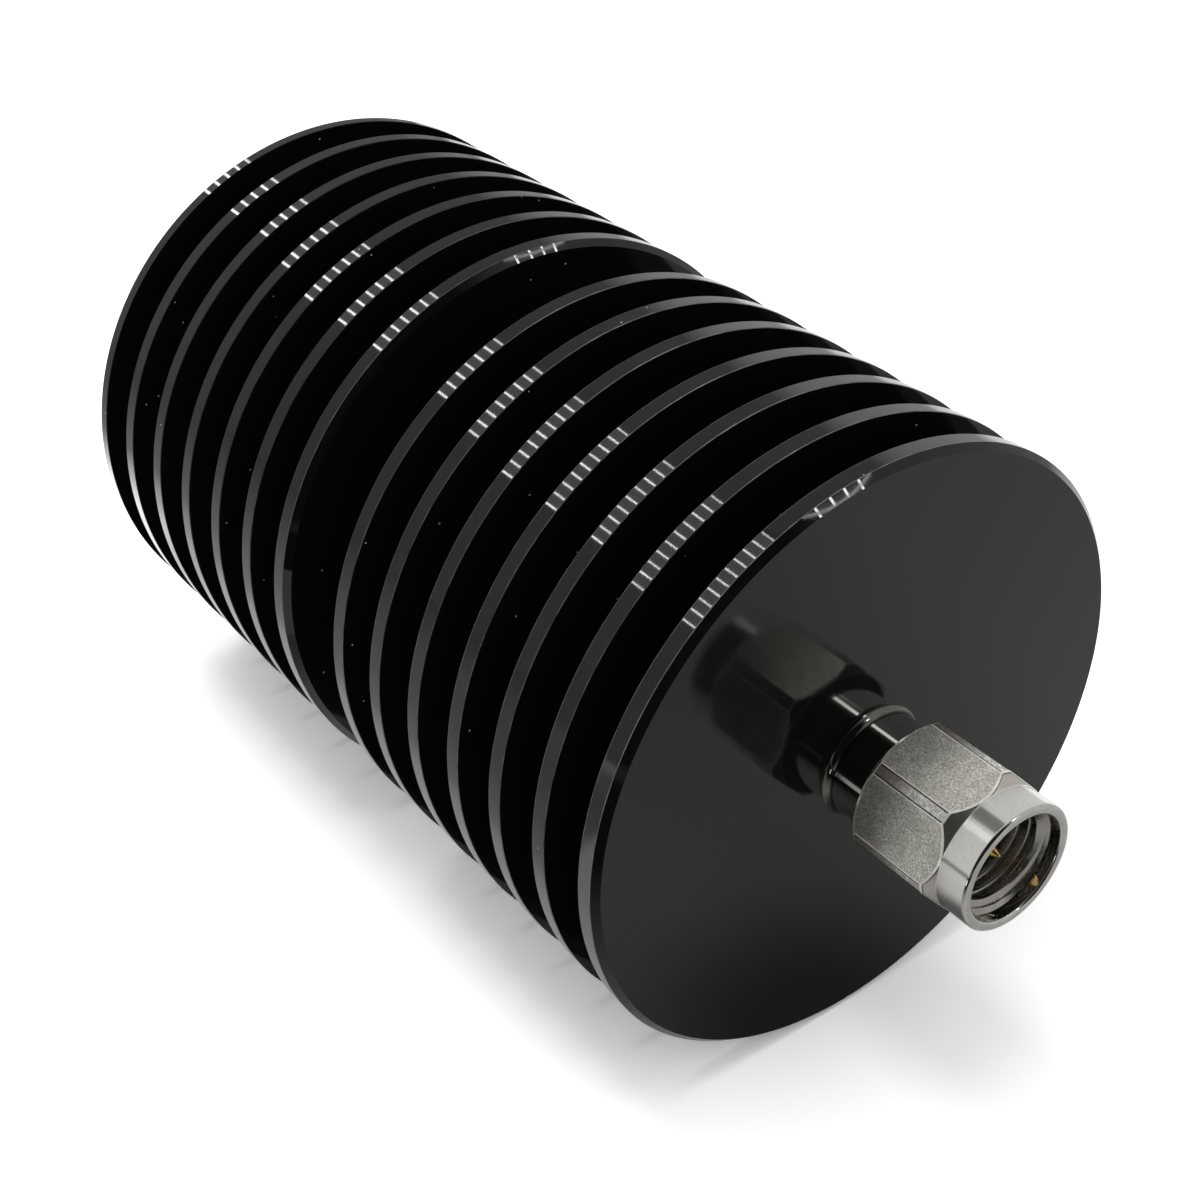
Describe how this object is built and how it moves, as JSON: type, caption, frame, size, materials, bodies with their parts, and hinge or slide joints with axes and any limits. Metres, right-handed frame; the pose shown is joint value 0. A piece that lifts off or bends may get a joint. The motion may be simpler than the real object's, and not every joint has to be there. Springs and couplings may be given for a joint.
{
  "type": "rf dummy load",
  "caption": "Coaxial termination: round finned heat sink on one axis with a threaded coaxial plug, whose loose hexagon nut turns on the shell.",
  "frame": {"origin": "centre of the heat sink's flat rear face, on which the load stands", "axes": "+Z along the load's axis from the rear face to the plug, +X towards a corner of the hexagon nut"},
  "size_m": [0.0388, 0.0388, 0.0689],
  "materials": {
    "black_anodised": "black anodised, fine turning marks on the rims",
    "stainless_polished": "polished stainless steel",
    "stainless_satin": "satin stainless steel with bead-blasted flats",
    "bronze": "bright phosphor bronze",
    "silicone": "matt silicone rubber",
    "ptfe": "white fluoropolymer",
    "amber_resin": "moulded high-temperature resin",
    "gold_plated": "gold plated",
    "silver_plated": "silver plated",
    "alumina": "ceramic under a dark resistive film",
    "copper": "plain copper",
    "plain_brass": "turned brass",
    "spring_steel": "blued spring steel"
  },
  "bodies": {
    "load": {"heat_sink": "black_anodised", "connector_shell": "stainless_polished", "retaining_ring": "bronze", "nut_gasket": "silicone", "front_insulator": "ptfe", "support_bead": "amber_resin", "centre_pin": "gold_plated", "contact_socket": "gold_plated", "front_cap": "silver_plated", "resistor_rod": "alumina", "rear_cap": "silver_plated", "ground_collet": "gold_plated", "heat_slug": "copper", "matching_sleeve": "plain_brass", "disc_spring": "spring_steel"},
    "nut": {"coupling_nut": "stainless_satin"}
  },
  "joints": [
    {"name": "nut_spin", "type": "hinge", "parent": "load", "child": "nut", "pos_m": [0, 0, 0.06056], "axis": [0, 0, 1], "continuous": true}
  ]
}
